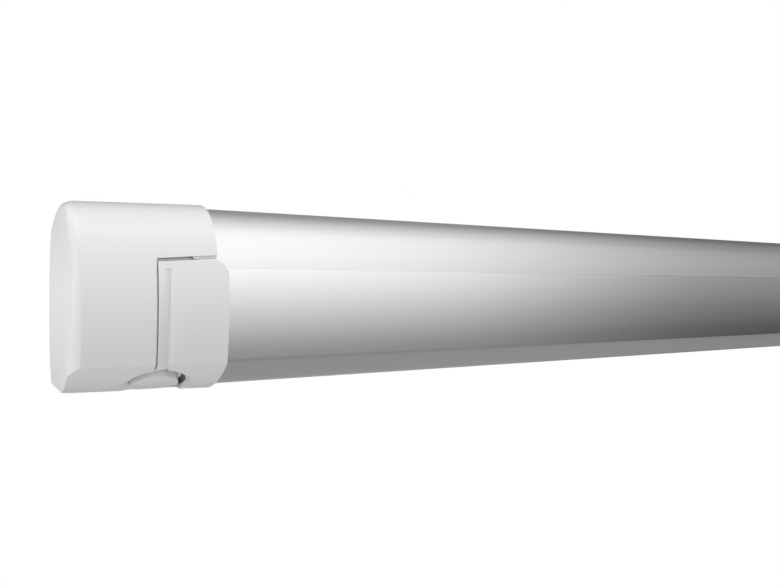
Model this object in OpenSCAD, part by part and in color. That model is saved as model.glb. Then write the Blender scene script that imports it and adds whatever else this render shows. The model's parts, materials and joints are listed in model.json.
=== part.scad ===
// Roll out awning for a camper: a wall-held cassette with a crank winch, folding arms and support legs.
// Origin on the wall face at mid length, near mid height, +X along the cassette, front towards -Y, +Z up.

/* [Cassette] */
// Length over the end caps
awning_length = 2300; // [2000:10:3000]
// Height of the aluminium cassette
case_height = 112.8; // [108:0.1:118]
// Height of the origin above the cassette's floor
floor_drop = 56; // [55:0.5:57]
// Depth of the aluminium cassette from the wall to its foremost line
case_depth = 93; // [90:0.5:97]
// Wall of the housing extrusion
shell_wall = 2.2; // [1.6:0.1:2.6]
// Radius of the gently curved front
front_radius = 178; // [150:1:220]
// Height of the foremost line above the origin
front_crest = -2; // [-5:0.5:4]
// Radius of the upper front corner
corner_radius = 38; // [34:0.5:40]
// Radius of the crowned top
crown_radius = 128; // [110:1:150]
// Radius of the curved keel under the front
keel_radius = 82; // [78:1:90]
// Distance of the keel curve's lowest line behind the foremost line
keel_setback = 56.5; // [54:0.5:59]
// How far the keel curve would dip below the floor
keel_dip = 1.5; // [1:0.1:2]
// Height of the housing's front lip above the origin
lip_height = 18; // [16:0.5:20]
// Depth of the stiffening flange on the lip
lip_flange = 8; // [6:0.5:9]
// Seam between the lip and the lead rail
lip_seam = 0.4; // [0.3:0.1:1]
// Depth of the housing floor from the wall
floor_depth = 11; // [10.6:0.1:11.2]

/* [End caps] */
// Height of the caps above the aluminium at their inner edge
cap_proud = 2.3; // [1.8:0.1:2.6]
// Height of the caps above the aluminium beside their end face
cap_proud_end = 0.3; // [0.1:0.1:0.8]
// Length of a housing cap
cap_length = 82; // [78:0.5:86]
// Wall of a cap's end face
cap_end_wall = 3.2; // [2.5:0.1:4]
// Depth of a cap's inside below the aluminium's outline
cap_inset = 1.4; // [1:0.1:1.8]
// Width of the bowed bevel round the end face
cap_round = 5.7; // [4:0.1:7]
// Width of the end face's bevel along the keel
cap_keel_round = 0.6; // [0.4:0.1:2]
// Share of the bevel's width along the crowned top
cap_top_share = 0.4; // [0.3:0.05:1]
// Angle at which the bevel meets the faces beside it
cap_bow = 25; // [15:1:35]
// Bulge of the end face
end_crown = 1.1; // [0.5:0.1:2]
// Play between a cap's sleeve and the aluminium
cap_play = 0.2; // [0.15:0.05:0.3]
// Distance of a cap's back from the wall
cap_back = 0.4; // [0.2:0.1:0.8]
// Distance of the upright split from the end
split_at = 46.7; // [44:0.1:49]
// Height of the level split above the origin, at the upright split
split_height = 22.9; // [21:0.1:24.5]
// Slope of the level split
split_slope = 3.9; // [2:0.1:5]
// Width of the upright split
split_gap = 1; // [0.8:0.1:1.4]
// Width of the split across the keel
keel_gap = 0.4; // [0.3:0.1:0.6]
// Width of the level split
level_gap = 2; // [1.5:0.1:2.5]
// Room between the return flanges along the split and the winch
flange_room = 3.7; // [3:0.1:4.5]
// Wall of the return flanges
flange_wall = 2.4; // [2:0.1:3]
// Height of the skirt that hangs behind the level split
skirt_drop = 7; // [5:0.5:9]
// Width of the skirt behind the upright split
skirt_reach = 5; // [4:0.5:6]
// Wall of the skirt
skirt_wall = 1.8; // [1.4:0.1:2.2]
// Play between the skirt and the lead cap
skirt_play = 0.5; // [0.4:0.1:0.8]
// Depth of the ledges in the splits below the cap's surface
ledge_sunk = 1.2; // [1:0.1:1.4]
// Play between a ledge and the lead cap
ledge_play = 0.3; // [0.3:0.05:0.5]
// Height of the open nick between the upright ledge and the keel
nick_height = 3; // [2:0.5:5]
// Distance from the end to the housing extrusion
housing_inset = 70; // [69:0.5:71.5]
// Distance from the end to the lead rail extrusion
lead_inset = 75; // [74.6:0.1:77]
// Distance from the end to a lead cap's inner edge
lead_cap_end = 88.6; // [86:0.1:92]
// Radius of a lead cap's upper inner corner
lead_cap_round = 10; // [8:0.5:12]
// Wall that closes the end of the lead rail
lead_end_wall = 2.6; // [2:0.1:2.9]
// Width of the strip beside the split, which falls back towards the keel
strip_width = 6.5; // [5:0.1:8]
// Height of the strip's upper end above the origin
strip_top = 17; // [14:0.5:18]
// Depth of the strip at its upper end, along its inner edge
strip_start = 0.8; // [0.4:0.1:1]
// Depth of the strip at the keel, along its inner edge
strip_depth = 1.8; // [1.4:0.1:1.9]
// Depth of the strip at the keel, along the split
strip_edge = 0.5; // [0.2:0.1:0.8]
// Width of the ridge beside the strip, at the keel
ridge_width = 2.4; // [2:0.1:3.5]
// Depth of the ridge's edge at the keel
ridge_depth = 1; // [0.8:0.1:1.2]

/* [Winch] */
// Distance of the winch from the end
winch_at = 51.5; // [50.5:0.1:52.5]
// Radius of the round disc under the winch
disc_radius = 14.1; // [13.5:0.1:15]
// Depth from the cap's surface to the disc's inner side
disc_deep = 7.4; // [7:0.1:8]
// Depth of the disc's face below the cap's surface
disc_sunk = 0.7; // [0.4:0.1:1]
// Play round the disc
disc_play = 0.5; // [0.4:0.1:0.8]
// Width of the flange that holds the disc from inside
disc_flange = 1.8; // [1.4:0.1:2.2]
// Radius of the round recess at the cap's surface
recess_radius = 21.5; // [20:0.1:22]
// Width of the recess's sloping wall
recess_slope = 3; // [2:0.1:3.5]
// Depth of the recess
recess_depth = 2.4; // [2:0.1:3]
// Wall behind and round the recess
boss_wall = 2.5; // [2:0.1:3]
// Worm wheel teeth
wheel_teeth = 20; // [20:1:20]
// Thread starts of the worm
worm_starts = 2; // [2:1:2]
// Pitch radius of the worm
worm_radius = 7; // [6.8:0.1:7.2]
// Working height of the teeth above and below the pitch line
tooth_height = 1.7; // [1.4:0.1:1.8]
// Thickness of a wheel tooth on the pitch line
tooth_thick = 2.4; // [2.2:0.1:2.6]
// Thickness of the worm thread on the pitch line
thread_thick = 2.6; // [2.4:0.1:2.7]
// Face width of the worm wheel
wheel_width = 8; // [7:0.5:9]
// Length of the worm thread
worm_length = 26; // [22:1:28]
// Radius of the winch shaft
shaft_radius = 4.5; // [4:0.1:4.8]
// Wall of the winch housing
gear_wall = 2.6; // [2.2:0.1:2.8]
// Ring radius of the winch eye
eye_radius = 10; // [9.5:0.1:11]
// Wire radius of the winch eye
eye_wire = 2.8; // [2.5:0.1:3]
// Radius of the eye's ferrule
ferrule_radius = 6.6; // [6.2:0.1:7]
// Length of the eye's ferrule
ferrule_length = 10; // [9:0.5:12]

/* [Roller] */
// Share of the cassette's depth from the wall to the roller axis
roller_share = 0.387; // [0.38:0.001:0.394]
// Room between the roll and the cassette's top
roll_room_top = 4.4; // [3.6:0.1:5]
// Room between the roll and the arm pivots
roll_room_low = 2.1; // [1.8:0.1:3]
// Thickness of the fabric wound on the roller
wrap_thick = 6; // [5:0.1:6.5]
// Wall of the roller tube
roller_wall = 1.5; // [1.2:0.1:1.8]
// Radius of the roller's journals
journal_radius = 6; // [5.5:0.1:6.2]
// Running clearance of journals and pins
run_clear = 0.05; // [0.03:0.01:0.08]
// Wall of the roller bushes
bush_wall = 3; // [2.5:0.1:3.2]
// Thickness of the end plates
plate_thick = 4; // [3.5:0.1:4.5]
// Distance from the end to the roller tube
roller_inset = 82; // [80:0.5:84]
// Length of a roller plug inside the tube
roller_plug_length = 30; // [25:1:40]
// Thickness of a roller plug's rim
roller_plug_rim = 2; // [1.5:0.1:3]
// Distance from the end to the fabric's edge
fabric_inset = 100; // [98:1:110]
// Thickness of the fabric
fabric_thick = 0.5; // [0.4:0.1:0.8]

/* [Folding arms] */
// Distance of the shoulder and wrist pivots from the end
shoulder_at = 125; // [122:1:130]
// Distance of the elbow pivots from mid length
elbow_at = 45; // [42:1:50]
// Distance of the upper arm from the wall
upper_depth = 20; // [19.5:0.1:20.5]
// Distance of the forearm from the wall
fore_depth = 46; // [45.5:0.1:46.5]
// Height of the arms' middle above the floor
arm_rise = 33.5; // [33.2:0.1:33.8]
// Width of an arm tube
arm_width = 22; // [20:0.5:22.5]
// Height of an arm tube
arm_height = 24; // [22:0.5:24.5]
// Corner radius of an arm tube
arm_round = 4; // [3:0.5:5]
// Wall of an arm tube
arm_wall = 1.8; // [1.5:0.1:2.2]
// Thickness of the middle knuckles
knuckle_thick = 13; // [11:0.5:14]
// Radius of the middle knuckles
knuckle_radius = 11; // [10.5:0.1:11.5]
// Radius of the outer ears
ear_radius = 11.5; // [11:0.1:12]
// Play between knuckles and ears
ear_play = 0.3; // [0.2:0.05:0.4]
// Radius of the pivot pins
pin_radius = 4; // [3.5:0.1:4.5]
// Radius of a pivot pin's head
pin_head = 6.5; // [6:0.1:7]
// Height of a pivot pin's head
pin_head_height = 1.4; // [1:0.1:1.6]
// Length of a casting outside its arm tube
casting_reach = 42; // [40:0.5:46]
// Length of a shoulder or wrist knuckle outside its arm tube
knuckle_reach = 34; // [32:0.5:38]
// Length of a casting's solid block
block_length = 12; // [10:0.5:14]
// Length of a casting's plug inside its tube
plug_length = 22; // [18:0.5:28]
// Play between a plug and its tube
plug_play = 0.15; // [0.1:0.05:0.25]
// Radius of the arm spring
spring_radius = 6.5; // [6:0.1:7]
// Length of the arm spring
spring_length = 520; // [400:10:640]

/* [Lead rail] */
// Wall of the lead rail extrusion
rail_wall = 2; // [1.6:0.1:2.2]
// Distance of the leg channel's back from the wall
channel_back = 12; // [11.8:0.1:12.6]
// Distance of the leg channel's front from the wall
channel_front = 52.4; // [52:0.1:52.8]
// Wall of the leg channel
channel_wall = 1.7; // [1.5:0.1:1.9]
// Height of the channel's ceiling above the floor
channel_rise = 19.8; // [19.4:0.1:20]
// Distance of the hem groove behind the foremost line
groove_setback = 10; // [9:0.1:11]
// Height of the hem groove above the origin
groove_height = -1; // [-2:0.1:0]
// Outer radius of the hem groove
groove_radius = 5; // [4.6:0.1:5.2]
// Radius of the hem rod
hem_radius = 3.1; // [2.8:0.1:3.2]
// Play between the hem rod and its groove
hem_play = 0.3; // [0.2:0.05:0.4]
// Height of the groove's mouth
groove_mouth = 2.4; // [2:0.1:2.8]

/* [Support legs] */
// Distance of a leg's hinge from the end
leg_at = 110; // [108:1:116]
// Width of a leg tube
leg_width = 16; // [15:0.1:16.4]
// Height of a leg tube
leg_height = 14; // [13.5:0.1:14.2]
// Wall of a leg tube
leg_wall = 1.5; // [1.2:0.1:1.6]
// Corner radius of a leg tube
leg_round = 2; // [1.5:0.1:2.5]
// Room between a stored leg and the channel's ceiling
leg_head_room = 1.1; // [1:0.1:1.3]
// Distance of a leg tube's open end from mid length
leg_end = 60; // [50:1:80]
// Play between the two tubes of a leg
leg_play = 0.3; // [0.25:0.05:0.4]
// Radius of a leg's hinge pin
leg_pin_radius = 3; // [2.6:0.1:3.2]
// Length of a leg collar
collar_length = 30; // [28:0.5:34]
// Depth of the tube's seat inside its collar
collar_seat = 8; // [6:0.5:10]
// Length of a leg's foot
foot_length = 26; // [22:0.5:30]
// Length of a lock lever
lever_length = 40; // [34:0.5:44]
// Thickness of a lock lever
lever_thick = 2; // [1.8:0.1:2.2]

/* [Fixings] */
// Radius of a wall bolt hole
wall_hole_radius = 3.3; // [3.2:0.1:4.2]
// Spacing of the wall bolts along the cassette
wall_hole_spacing = 1600; // [1200:10:1700]
// Height of the lower wall bolts above the floor
wall_hole_rise = 13; // [12:0.1:14]
// Spacing of the wall bolts upwards
wall_hole_spread = 41; // [40:0.1:43]
// Radius of the screws
screw_radius = 2; // [1.8:0.1:2.1]
// Radius of a screw's head
screw_head = 3.8; // [3.4:0.1:4]
// Height of a screw's head
screw_head_height = 2.4; // [2:0.1:2.6]
// Play of a screw in its hole
screw_play = 0.1; // [0.1:0.05:0.2]
// Length of the screws into the extrusion's screw ports
port_screw_length = 24; // [20:1:30]
// Wall of a screw port
port_wall = 1.7; // [1.5:0.1:1.9]

/* [Hidden] */
$fn = 96;
far = 600;
half_length = awning_length / 2;
floor_z = -floor_drop;
top_z = case_height - floor_drop;
front_center = -case_depth + front_radius;
corner_z = top_z - corner_radius;
corner_y = front_center - sqrt(pow(front_radius - corner_radius, 2) - pow(corner_z - front_crest, 2));
crown_z = top_z - crown_radius;
keel_line = case_depth - keel_setback;
keel_z = floor_z - keel_dip + keel_radius;
crease_level = keel_at(-case_depth + 4, cap_proud);
channel_top = floor_z + channel_rise;
leg_level = channel_top - channel_wall - leg_head_room - leg_height / 2;
arm_level = floor_z + arm_rise;
wall_hole_low = floor_z + wall_hole_rise;
wall_hole_high = wall_hole_low + wall_hole_spread;
groove_depth = case_depth - groove_setback;
// The roll fills the room between the arm pivots and the crowned top
roller_depth = round(case_depth * roller_share);
roll_top = crown(-roller_depth) - shell_wall - roll_room_top;
roll_low = arm_level + arm_height / 2 + pin_head_height + roll_room_low;
roll_radius = round(5 * (roll_top - roll_low)) / 10;
roller_height = round(5 * (roll_top + roll_low)) / 10;
roller_radius = roll_radius - wrap_thick;
roller_at = [-roller_depth, roller_height];
shoulder_x = half_length - shoulder_at;
elbow_y = -(upper_depth + fore_depth) / 2;
lane_width = (channel_front - channel_back - 3 * channel_wall) / 2;
lanes = [-channel_front + channel_wall + lane_width / 2, -channel_back - channel_wall - lane_width / 2];
// The worm wheel is as large as the roller tube
wheel_radius = roller_radius;
winch_depth = roller_depth + wheel_radius + worm_radius;
tooth_pitch = 2 * PI * wheel_radius / wheel_teeth;
worm_lead = tooth_pitch * worm_starts;
lead_angle = atan(worm_lead / (2 * PI * worm_radius));
winch_x = half_length - winch_at;
winch_column = worm_radius + tooth_height + 1 + gear_wall;
flange_back = -winch_depth - winch_column - flange_room;
skin_top = arm_level - arm_height / 2;
bush_radius = journal_radius + bush_wall;
// Screw ports: front top, back top and back bottom of the housing
port_radius = screw_radius + screw_play + port_wall;
port_reach = corner_radius - shell_wall - port_radius + 0.6;
port_back = -shell_wall - port_radius + 0.6;
port_rise = crown(0) - 6.25;
port_drop = 8;
ports = [
    [corner_y - port_reach * cos(45), corner_z + port_reach * sin(45)],
    [port_back, port_rise],
    [port_back, floor_z + port_drop]
];
// The wall rib pair that locates the shoulder brackets
rib_height = 3;
rib_thick = 1.7;
bracket_play = 0.2;
bracket_low = arm_level - arm_height / 2 - 1.5;
bracket_high = arm_level + arm_height / 2 + 1.5;
bracket_thick = 4;
bracket_half = 30;
bracket_screw = 22;
inner_width = leg_width - 2 * (leg_wall + leg_play);
inner_height = leg_height - 2 * (leg_wall + leg_play);
// The seat of a leg's lock lever
lever_pin = 1;
lever_eye = 1.9;
lever_inset = 12;
lever_width = 11;
white = "#f2f3f3";
alloy = "#b9bcbf";
steel = "#8e9297";
dark = "#3a3c3f";
cloth = "#8f959b";

// Outlines are drawn as [y, z] and pushed along X
module along_x(from, to) translate([from, 0, 0]) rotate([90, 0, 90]) linear_extrude(to - from) children();

// Pushes an [x, y] plan up between two heights
module upright(low, high) translate([0, 0, low]) linear_extrude(high - low) children();

module below(z) translate([-far, -far]) square([2 * far, far + z]);
module above(z) translate([-far, z]) square([2 * far, far]);
module ahead(y) translate([-far, -far]) square([far + y, 2 * far]);
module behind(y) translate([y, -far]) square([far, 2 * far]);

// Draws the left piece as it is, or its twin on the right
module on_side(right) mirror([right ? 1 : 0, 0, 0]) children();

// Height of the crowned top, and of the keel raised by proud, at a place in front of the wall
function crown(y) = crown_z + sqrt(pow(crown_radius, 2) - pow(y - corner_y, 2));
function keel_at(y, proud) = keel_z - sqrt(pow(keel_radius + proud, 2) - pow(y + keel_line, 2));

// The front's place at a height, and the caps' height above the aluminium at a distance from the end
function front_at(z, proud) = front_center - sqrt(pow(front_radius + proud, 2) - pow(z - front_crest, 2));
function proud_at(x) =
    let (share = (x - cap_round - end_crown) / (cap_length - cap_round - end_crown))
    cap_proud_end + (cap_proud - cap_proud_end) * share;

// The cassette's closed outline, drawn in by inset, with its own insets at the top, along the keel and at the wall
module case_outline(inset, top, low, back) {
    intersection() {
        translate([front_center, front_crest]) circle(front_radius - inset);
        translate([corner_y, crown_z]) circle(crown_radius - top);
        union() {
            translate([corner_y, corner_z + inset - top]) circle(corner_radius - inset);
            behind(corner_y);
            below(corner_z + inset - top);
        }
        union() {
            translate([-keel_line, keel_z]) circle(keel_radius - low);
            behind(-keel_line);
            above(keel_z);
        }
        above(floor_z + low);
        ahead(-back);
    }
}

module outline(inset) case_outline(inset, inset, inset, inset < 0 ? cap_back : inset);

module rounded(width, height, round) {
    square([width - 2 * round, height], center = true);
    square([width, height - 2 * round], center = true);
    for (side = [-1, 1], level = [-1, 1])
        translate([side * (width / 2 - round), level * (height / 2 - round)]) circle(round);
}

module rounded_tube(width, height, round, wall) difference() {
    rounded(width, height, round);
    rounded(width - 2 * wall, height - 2 * wall, max(round - wall, 0.5));
}

module housing_profile() color(alloy) difference() {
    along_x(-half_length + housing_inset, half_length - housing_inset) difference() {
        union() {
            difference() {
                outline(0);
                outline(shell_wall);
                intersection() {
                    below(lip_height);
                    ahead(-floor_depth);
                }
            }
            intersection() {
                outline(0);
                translate([-case_depth, lip_height]) square([lip_flange, shell_wall]);
            }
            for (z = [bracket_low - bracket_play - rib_thick, bracket_high + bracket_play])
                translate([-shell_wall - rib_height, z]) square([rib_height + 0.5, rib_thick]);
            intersection() {
                outline(0);
                for (port = ports)
                    translate(port) circle(port_radius);
            }
        }
        for (port = ports)
            translate(port) circle(screw_radius + screw_play);
    }
    for (x = [-1, 1] * wall_hole_spacing / 2, z = [wall_hole_high, wall_hole_low])
        wall_bore(x, z, wall_hole_radius, shell_wall + 2);
    for (x = [-1, 1] * shoulder_x, shift = [-1, 1] * bracket_screw)
        wall_bore(x + shift, arm_level, screw_radius + screw_play, shell_wall + 2);
}

// A bar that bores into the cassette from the wall
module wall_bore(x, z, radius, depth) translate([x, 1, z]) rotate([90, 0, 0]) cylinder(r = radius, h = depth);

// The caps' outer form from the left end face inwards: bulging and bevelled at the end, drafted towards it
module cap_form() {
    steps = 4;
    reach = cos(cap_bow) - sin(cap_bow);
    slice = 0.02;
    dome = corner_radius - cap_round - 6;
    hull() {
        for (share = [0, 0.5]) {
            start = end_crown * share * share;
            inset = dome * (1 - share);
            top = cap_round * cap_top_share + inset;
            along_x(start, start + slice)
                case_outline(cap_round + inset, top, cap_keel_round + inset, cap_back, $fn = 120);
        }
        for (step = [0 : steps]) {
            turn = cap_bow + (90 - 2 * cap_bow) * step / steps;
            start = end_crown + cap_round * (cos(cap_bow) - cos(turn)) / reach;
            share = (cos(cap_bow) - sin(turn)) / reach;
            inset = cap_round * share - cap_proud_end;
            top = cap_round * cap_top_share * share - cap_proud_end;
            low = cap_keel_round * share - cap_proud_end;
            along_x(start, start + slice) case_outline(inset, top, low, cap_back, $fn = 120);
        }
        proud = proud_at(lead_cap_end);
        along_x(lead_cap_end - slice, lead_cap_end) case_outline(-proud, -proud, -proud, cap_back, $fn = 120);
    }
}

// Pushes a front view, drawn as [x, z], right through
module through() rotate([90, 0, 0]) linear_extrude(2 * far, center = true) children();

// The room of the lead rail's end, seen from the front and from above, drawn back by the gaps
module lead_room(side_gap, level) {
    left = split_at + side_gap;
    high = split_height - level;
    rise = far * tan(split_slope);
    step = lead_inset - 4 + side_gap;
    deep = winch_depth - recess_radius + side_gap;
    shallow = floor_depth + 0.4 + side_gap / 2;
    intersection() {
        through()
            polygon([[left, -far], [left, high], [left + far, high + rise], [left + far, -far]]);
        upright(-far, far)
            polygon([
                [left, -far], [left, -deep], [step, -deep],
                [step, -shallow], [far, -shallow], [far, -far]
            ]);
    }
}

// All above the return flange of the level split
module lead_cap_ceiling() {
    level = split_height + flange_wall;
    rise = far * tan(split_slope);
    through() polygon([[0, level], [split_at, level], [split_at + far, level + rise], [0, level + far]]);
}

// Flanges that stiffen the cap's edges along both splits
module split_flanges() {
    difference() {
        along_x(split_at - flange_wall, split_at) ahead(flange_back);
        translate([0, 0, flange_wall]) lead_cap_ceiling();
        winch_bar(disc_radius + disc_flange + disc_play);
    }
    difference() {
        along_x(split_at - flange_wall, far) ahead(flange_back);
        lead_room(0, 0);
        lead_cap_ceiling();
        along_x(0, split_at) below(split_height);
    }
}

// A skirt on the flanges, which closes both splits to the eye
module split_skirt() {
    left = split_at - flange_wall;
    right = split_at + skirt_reach;
    low = crease_level + skirt_reach;
    drop = split_height - skirt_drop;
    top = split_height + flange_wall / 2;
    intersection() {
        along_x(left, far) difference() {
            outline(cap_inset + skirt_play);
            outline(cap_inset + skirt_play + skirt_wall);
            behind(flange_back);
        }
        through() polygon([[left, low], [right, low], [right, drop], [far, drop], [far, top], [left, top]]);
    }
}

// Ledges in the splits, sunk below the cap's surface: one up to the keel, one over the housing's end
module split_ledges() difference() {
    union() {
        along_x(split_at - 1, split_at + split_gap) intersection() {
            outline(ledge_sunk - proud_at(split_at));
            above(crease_level + nick_height);
        }
        along_x(housing_inset - 2, far) intersection() {
            outline(ledge_sunk - proud_at(housing_inset));
            above(lip_height);
        }
    }
    lead_room(split_gap - ledge_play, level_gap - ledge_play);
}

// An upright round bar on the winch shaft's line, through the keel
module winch_bar(radius) translate([winch_at, -winch_depth, 0]) upright(2 * floor_z, skin_top) circle(radius);

// A round piece of the keel under the winch, between two depths below the caps' surface
module keel_patch(radius, shallow, deep) intersection() {
    winch_bar(radius);
    along_x(0, lead_cap_end) difference() {
        outline(shallow - proud_at(winch_at));
        outline(deep - proud_at(winch_at));
    }
}

// The round recess, which follows the keel and slopes in to its floor
module recess() {
    skin = 0.02;
    over = 0.8;
    hull() {
        keel_patch(recess_radius + recess_slope * over / recess_depth, -over, skin - over);
        keel_patch(recess_radius - recess_slope, recess_depth, recess_depth + skin);
    }
}

module end_cap(right) color(white) on_side(right) translate([-half_length, 0, 0]) difference() {
    union() {
        difference() {
            intersection() {
                cap_form();
                upright(-far, far) translate([0, -far]) square([cap_length, far]);
            }
            along_x(end_crown + cap_end_wall, housing_inset + cap_play) outline(cap_inset);
            along_x(housing_inset - cap_play, far) outline(-cap_play);
            difference() {
                lead_room(0, 0);
                split_ledges();
            }
        }
        intersection() {
            along_x(cap_end_wall, housing_inset - 2 * cap_play) outline(cap_inset - 0.2);
            union() {
                split_flanges();
                split_skirt();
                difference() {
                    keel_patch(recess_radius + boss_wall, 0, recess_depth + boss_wall);
                    lead_room(0, 0);
                }
            }
        }
    }
    recess();
    winch_bar(disc_radius + disc_play);
}

// Cuts back the lead cap's front from one place to another, on a face tilted about the strip's upper end
module cut_back(from, to, depth, yaw) {
    edge = split_at + split_gap + strip_width;
    proud = proud_at(edge);
    pivot = [edge, front_at(strip_top, proud), strip_top];
    pitch = atan((depth - strip_start) / (strip_top - crease_level));
    difference() {
        along_x(from, to) intersection() {
            below(strip_top);
            ahead(-winch_depth - recess_radius + 1);
        }
        translate(pivot + [0, strip_start, 0]) rotate([pitch, 0, yaw]) translate(-pivot)
            along_x(-far, far) outline(-proud);
    }
}

module lead_cap(right) color(white) on_side(right) translate([-half_length, 0, 0]) difference() {
    edge = split_at + split_gap + strip_width;
    notch = recess_radius - recess_slope;
    corner_x = lead_cap_end - lead_cap_round;
    corner_top = split_height - level_gap + (corner_x - split_at) * tan(split_slope);
    intersection() {
        union() {
            difference() {
                cap_form();
                along_x(-1, far) outline(-cap_play);
            }
            difference() {
                along_x(split_at, lead_inset - cap_play) intersection() {
                    outline(-cap_play - 0.3);
                    below(lip_height - lip_seam - cap_play);
                }
                along_x(0, lead_inset - cap_play - lead_end_wall) outline(cap_inset);
                along_x(0, lead_inset) intersection() {
                    above(roller_height - journal_radius - 2);
                    behind(-winch_depth);
                }
            }
        }
        union() {
            lead_room(split_gap, level_gap);
            intersection() {
                lead_room(keel_gap, level_gap);
                through() below(crease_level);
            }
        }
    }
    recess();
    winch_bar(notch);
    upright(-far, skin_top) translate([0, -winch_depth]) square([winch_at + notch, far]);
    cut_back(split_at, edge, strip_depth, atan((strip_depth - strip_edge) / strip_width));
    cut_back(edge, edge + 2 * ridge_width, ridge_depth, -atan(ridge_depth / ridge_width));
    translate([corner_x, 0, corner_top - lead_cap_round]) through() difference() {
        square(2 * lead_cap_round);
        circle(lead_cap_round);
    }
}

// The plate that closes an end of the housing and carries the roller's journal
module end_plate(right) color(steel) on_side(right) translate([-half_length, 0, 0]) difference() {
    along_x(housing_inset - plate_thick, housing_inset) difference() {
        intersection() {
            outline(cap_inset + 2 * cap_play);
            union() {
                intersection() {
                    above(bracket_low);
                    ahead(-shell_wall);
                    behind(flange_back + 1);
                }
                behind(-floor_depth + 0.2);
            }
        }
        translate(roller_at) circle(bush_radius);
        for (port = ports)
            translate(port) circle(screw_radius + screw_play);
    }
}

// A round bar on the roller's axis
module on_roller(from, to, radius) along_x(from, to) translate(roller_at) circle(radius);

module roller_bushes() color(dark) for (right = [false, true]) on_side(right) translate([-half_length, 0, 0]) {
    flange = 1.5;
    difference() {
        union() {
            on_roller(housing_inset - plate_thick, housing_inset + flange, bush_radius - 0.02);
            on_roller(housing_inset + 0.02, housing_inset + flange, bush_radius + 2);
        }
        on_roller(0, far, journal_radius + run_clear);
    }
}

// A round disc in the recess, curved like the keel, with a flange that seats behind the cap's boss
module winch_disc() {
    keel_patch(disc_radius, disc_sunk, disc_deep);
    keel_patch(disc_radius + disc_flange, recess_depth + boss_wall + 0.1, disc_deep);
}

module winch_plug() color(white) translate([-half_length, 0, 0]) winch_disc();

module winch_bezel() color(white) difference() {
    on_side(true) translate([-half_length, 0, 0]) winch_disc();
    on_shaft(-far / 2) cylinder(r = shaft_radius + run_clear, h = far);
}

// Stands on the winch shaft's line, at a height
module on_shaft(z) translate([winch_x, -winch_depth, z]) children();

// The gear casting: a drum round the worm wheel, a column round the worm and a sleeve down to the disc
module winch_housing() color(steel) {
    face = half_length - housing_inset + plate_thick;
    outer_face = winch_x + wheel_width / 2 + gear_wall + 1.5;
    drum = wheel_radius + tooth_height + 1 + gear_wall;
    low = roller_height - worm_length / 2 - 2;
    high = roller_height + worm_length / 2 + 2;
    sleeve_end = channel_top;
    difference() {
        union() {
            on_roller(face, outer_face, drum);
            on_shaft(low - gear_wall) cylinder(r = winch_column, h = high - low + 2 * gear_wall);
            on_shaft(sleeve_end) cylinder(r = shaft_radius + gear_wall, h = low - sleeve_end);
        }
        on_roller(face - 1, outer_face - gear_wall, drum - gear_wall);
        on_shaft(low) cylinder(r = winch_column - gear_wall, h = high - low);
        on_shaft(-far / 2) cylinder(r = shaft_radius + run_clear, h = far);
    }
}

// A lobed section whose twist makes the worm's thread
module winch_worm() color(steel) {
    root = worm_radius - tooth_height - 0.5;
    tip = worm_radius + tooth_height;
    slope = tan(20);
    half_tip = (thread_thick / 2 - tooth_height * slope) * 360 / worm_lead;
    half_root = (thread_thick / 2 + (tooth_height + 0.5) * slope) * 360 / worm_lead;
    low = roller_height - worm_length / 2;
    lobe = [[-half_root, root], [-half_tip, tip], [0, tip], [half_tip, tip], [half_root, root], [90, root]];
    mid_turn = 90 - 180 * worm_length / worm_lead;
    on_shaft(low) rotate([0, 0, mid_turn])
        linear_extrude(worm_length, twist = -360 * worm_length / worm_lead, slices = 40, $fn = 0, $fs = far)
            polygon([for (start = [0 : worm_starts - 1], point = lobe)
                let (turn = point[0] + start * 360 / worm_starts) point[1] * [cos(turn), sin(turn)]]);
    on_shaft(low - 0.5) cylinder(r = shaft_radius, h = worm_length + 4);
    on_shaft(eye_top() - ferrule_length + 1) cylinder(r = shaft_radius, h = low - eye_top() + ferrule_length);
}

// The ferrule starts just below the disc
function eye_top() = keel_at(-winch_depth + ferrule_radius, cap_proud) - 0.8;

module winch_eye() color(steel) {
    end = eye_top() - ferrule_length;
    difference() {
        union() {
            on_shaft(end) cylinder(r = ferrule_radius, h = ferrule_length);
            on_shaft(end - eye_radius + eye_wire / 2) rotate([0, 90, 0])
                rotate_extrude() translate([eye_radius, 0]) circle(eye_wire);
        }
        on_shaft(end + 1) cylinder(r = shaft_radius + 0.02, h = far);
    }
}

module worm_wheel() color(steel) {
    root = wheel_radius - tooth_height - 0.5;
    tip = wheel_radius + tooth_height;
    step = 360 / wheel_teeth;
    slope = tan(20);
    half_tip = (tooth_thick / 2 - tooth_height * slope) / tip * 180 / PI;
    half_root = (tooth_thick / 2 + tooth_height * slope) / root * 180 / PI;
    tooth = [[-half_root, root], [-half_tip, tip], [half_tip, tip], [half_root, root]];
    twist = wheel_width * tan(lead_angle) / wheel_radius * 180 / PI;
    low = winch_x - wheel_width / 2;
    difference() {
        translate([low, -roller_depth, roller_height]) rotate([90, 0, 90]) rotate([0, 0, (step - twist) / 2])
            linear_extrude(wheel_width, twist = -twist, slices = 4)
                polygon([for (count = [0 : wheel_teeth - 1], point = tooth)
                    let (turn = point[0] + count * step) point[1] * [cos(turn), sin(turn)]]);
        on_roller(low - 1, low + wheel_width + 1, journal_radius + 0.02);
    }
}

module shoulder_bracket(right) color(steel) on_side(right) translate([-shoulder_x, 0, 0]) difference() {
    union() {
        translate([-bracket_half, -shell_wall - bracket_thick, bracket_low])
            cube([2 * bracket_half, bracket_thick, bracket_high - bracket_low]);
        pivot_ears(-upper_depth, -shell_wall - 0.5);
    }
    translate([0, -upper_depth, -far]) cylinder(r = pin_radius, h = 2 * far);
    for (shift = [-1, 1] * bracket_screw)
        wall_bore(shift, arm_level, screw_radius + screw_play, far / 10);
}

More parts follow.
